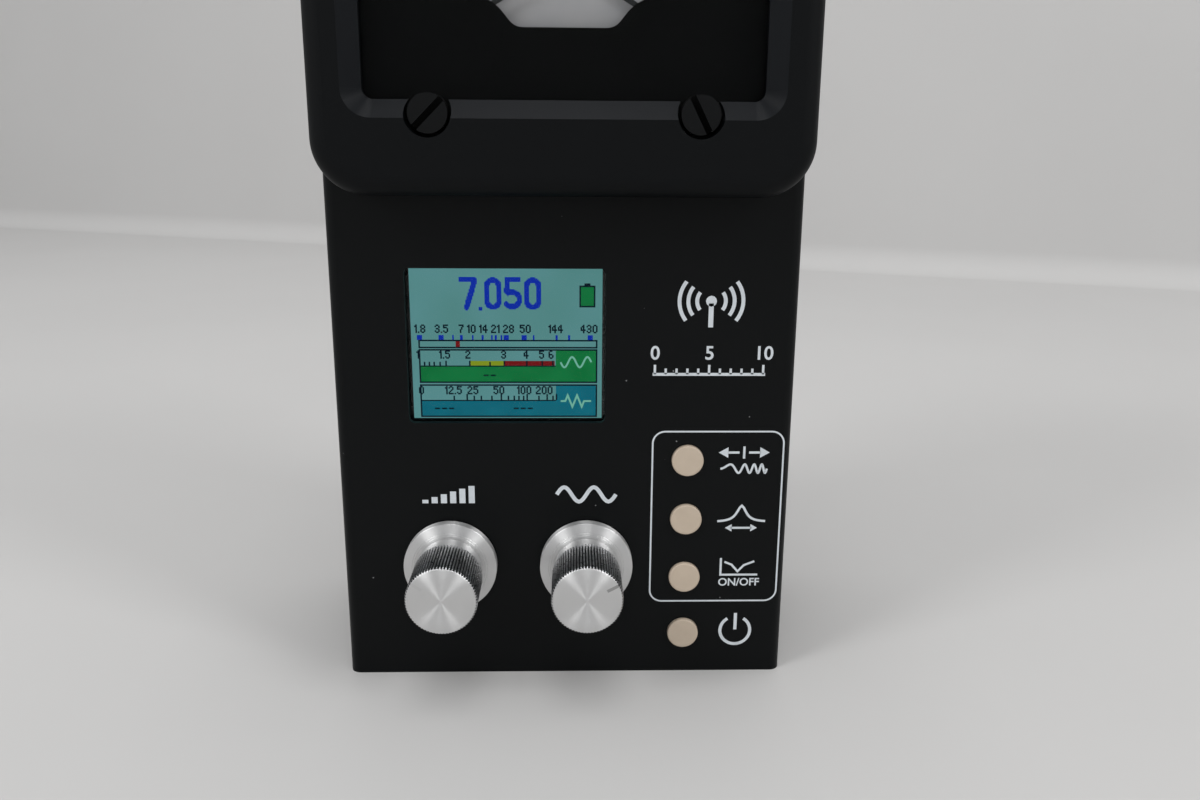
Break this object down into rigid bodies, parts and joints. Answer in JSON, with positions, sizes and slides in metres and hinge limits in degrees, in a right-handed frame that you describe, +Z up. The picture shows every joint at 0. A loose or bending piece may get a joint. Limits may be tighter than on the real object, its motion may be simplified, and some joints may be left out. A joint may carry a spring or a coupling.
{
  "type": "antenna analyzer",
  "caption": "Handheld antenna analyzer: black sheet metal case with a cross-needle meter, small colour display, encoder knobs, keys and coaxial jacks on top.",
  "frame": {"origin": "centre of the case's bottom face, on the surface that the instrument stands on", "axes": "+Z up, towards the jacks; -Y out of the panel, towards the user; +X to the user's right"},
  "size_m": [0.085, 0.0648, 0.2092],
  "materials": {
    "case_paint": "satin black paint",
    "bezel_plastic": "fine-grained moulded black plastic",
    "clear_plastic": "clear acrylic",
    "black_plastic": "black moulding",
    "gloss_black_plastic": "polished black moulding",
    "dial_card": "matt white",
    "needle_black": "matt black",
    "copper_winding": "enamelled wire",
    "iron": "plain",
    "zinc_steel": "zinc plated",
    "black_steel": "black oxide",
    "screen_glass": "liquid crystal display",
    "white_plastic": "plain",
    "circuit_board": "solder mask",
    "brass": "turned",
    "nickel": "nickel plated",
    "gold_contact": "gold plated",
    "ptfe": "white insulator",
    "spun_aluminium": "spun and knurled",
    "cream_plastic": "cream key caps",
    "cell_jacket": "plain jacket",
    "spring_steel": "nickel plated",
    "tin_plate": "tinned"
  },
  "bodies": {
    "case": {"front_case": "case_paint", "back_cover": "case_paint", "back_cover_screws": "black_steel", "meter_bezel": "bezel_plastic", "meter_studs": "zinc_steel", "meter_nuts": "zinc_steel", "meter_window": "clear_plastic", "meter_mask": "black_plastic", "meter_dial": "dial_card", "meter_housing": "black_plastic", "display_window": "clear_plastic", "display_glass": "screen_glass", "display_frame": "white_plastic", "control_board": "circuit_board", "board_screws": "zinc_steel", "board_spacers": "brass", "key_switches": "black_plastic", "rf_board": "circuit_board", "rf_board_posts": "brass", "rf_shield": "tin_plate", "uhf_jack_shell": "nickel", "uhf_jack_insulator": "ptfe", "uhf_jack_contact": "gold_contact", "n_jack_shell": "nickel", "n_jack_insulator": "ptfe", "n_jack_contact": "gold_contact", "jack_screws": "zinc_steel", "dc_jack": "black_plastic", "dc_jack_nut": "nickel", "battery_holder": "black_plastic", "battery_cells": "cell_jacket", "battery_contacts": "spring_steel", "left_movement_frame": "iron", "left_magnet": "iron", "right_movement_frame": "iron", "right_magnet": "iron", "band_encoder": "black_plastic", "band_washer": "zinc_steel", "band_nut": "nickel", "frequency_encoder": "black_plastic", "frequency_washer": "zinc_steel", "frequency_nut": "nickel"},
    "band_knob_set": {"band_knob": "spun_aluminium", "band_shaft": "zinc_steel", "band_grub_screw": "black_steel"},
    "frequency_knob_set": {"frequency_knob": "spun_aluminium", "frequency_shaft": "zinc_steel", "frequency_grub_screw": "black_steel"},
    "power_key": {"power_button": "cream_plastic"},
    "graph_key": {"graph_button": "cream_plastic"},
    "bandwidth_key": {"bandwidth_button": "cream_plastic"},
    "sweep_key": {"sweep_button": "cream_plastic"},
    "left_pointer": {"left_needle": "needle_black", "left_coil": "copper_winding"},
    "right_pointer": {"right_needle": "needle_black", "right_coil": "copper_winding"},
    "left_adjuster": {"left_zero_adjuster": "gloss_black_plastic"},
    "right_adjuster": {"right_zero_adjuster": "gloss_black_plastic"}
  },
  "joints": [
    {"name": "band_knob_turn", "type": "hinge", "parent": "case", "child": "band_knob_set", "pos_m": [-0.02197, -0.03, 0.0233], "axis": [0, 1, 0], "continuous": true},
    {"name": "frequency_knob_turn", "type": "hinge", "parent": "case", "child": "frequency_knob_set", "pos_m": [0.00391, -0.03, 0.0233], "axis": [0, 1, 0], "continuous": true},
    {"name": "power_key_press", "type": "slide", "parent": "case", "child": "power_key", "axis": [0, 1, 0], "range_m": [0, 0.0005], "stiffness_N_per_m": 1500},
    {"name": "graph_key_press", "type": "slide", "parent": "case", "child": "graph_key", "axis": [0, 1, 0], "range_m": [0, 0.0005], "stiffness_N_per_m": 1500},
    {"name": "bandwidth_key_press", "type": "slide", "parent": "case", "child": "bandwidth_key", "axis": [0, 1, 0], "range_m": [0, 0.0005], "stiffness_N_per_m": 1500},
    {"name": "sweep_key_press", "type": "slide", "parent": "case", "child": "sweep_key", "axis": [0, 1, 0], "range_m": [0, 0.0005], "stiffness_N_per_m": 1500},
    {"name": "left_needle_swing", "type": "hinge", "parent": "case", "child": "left_pointer", "pos_m": [-0.0223, -0.02, 0.118], "axis": [0, -1, 0], "range_deg": [0, 60], "stiffness_Nm_per_rad": 0.0003},
    {"name": "right_needle_swing", "type": "hinge", "parent": "case", "child": "right_pointer", "pos_m": [0.0223, -0.02, 0.118], "axis": [0, 1, 0], "range_deg": [0, 60], "stiffness_Nm_per_rad": 0.0003},
    {"name": "left_zero_adjust", "type": "hinge", "parent": "case", "child": "left_adjuster", "pos_m": [-0.0223, -0.03, 0.1065], "axis": [0, -1, 0], "range_deg": [-30, 30]},
    {"name": "right_zero_adjust", "type": "hinge", "parent": "case", "child": "right_adjuster", "pos_m": [0.0223, -0.03, 0.1065], "axis": [0, -1, 0], "range_deg": [-30, 30]}
  ]
}
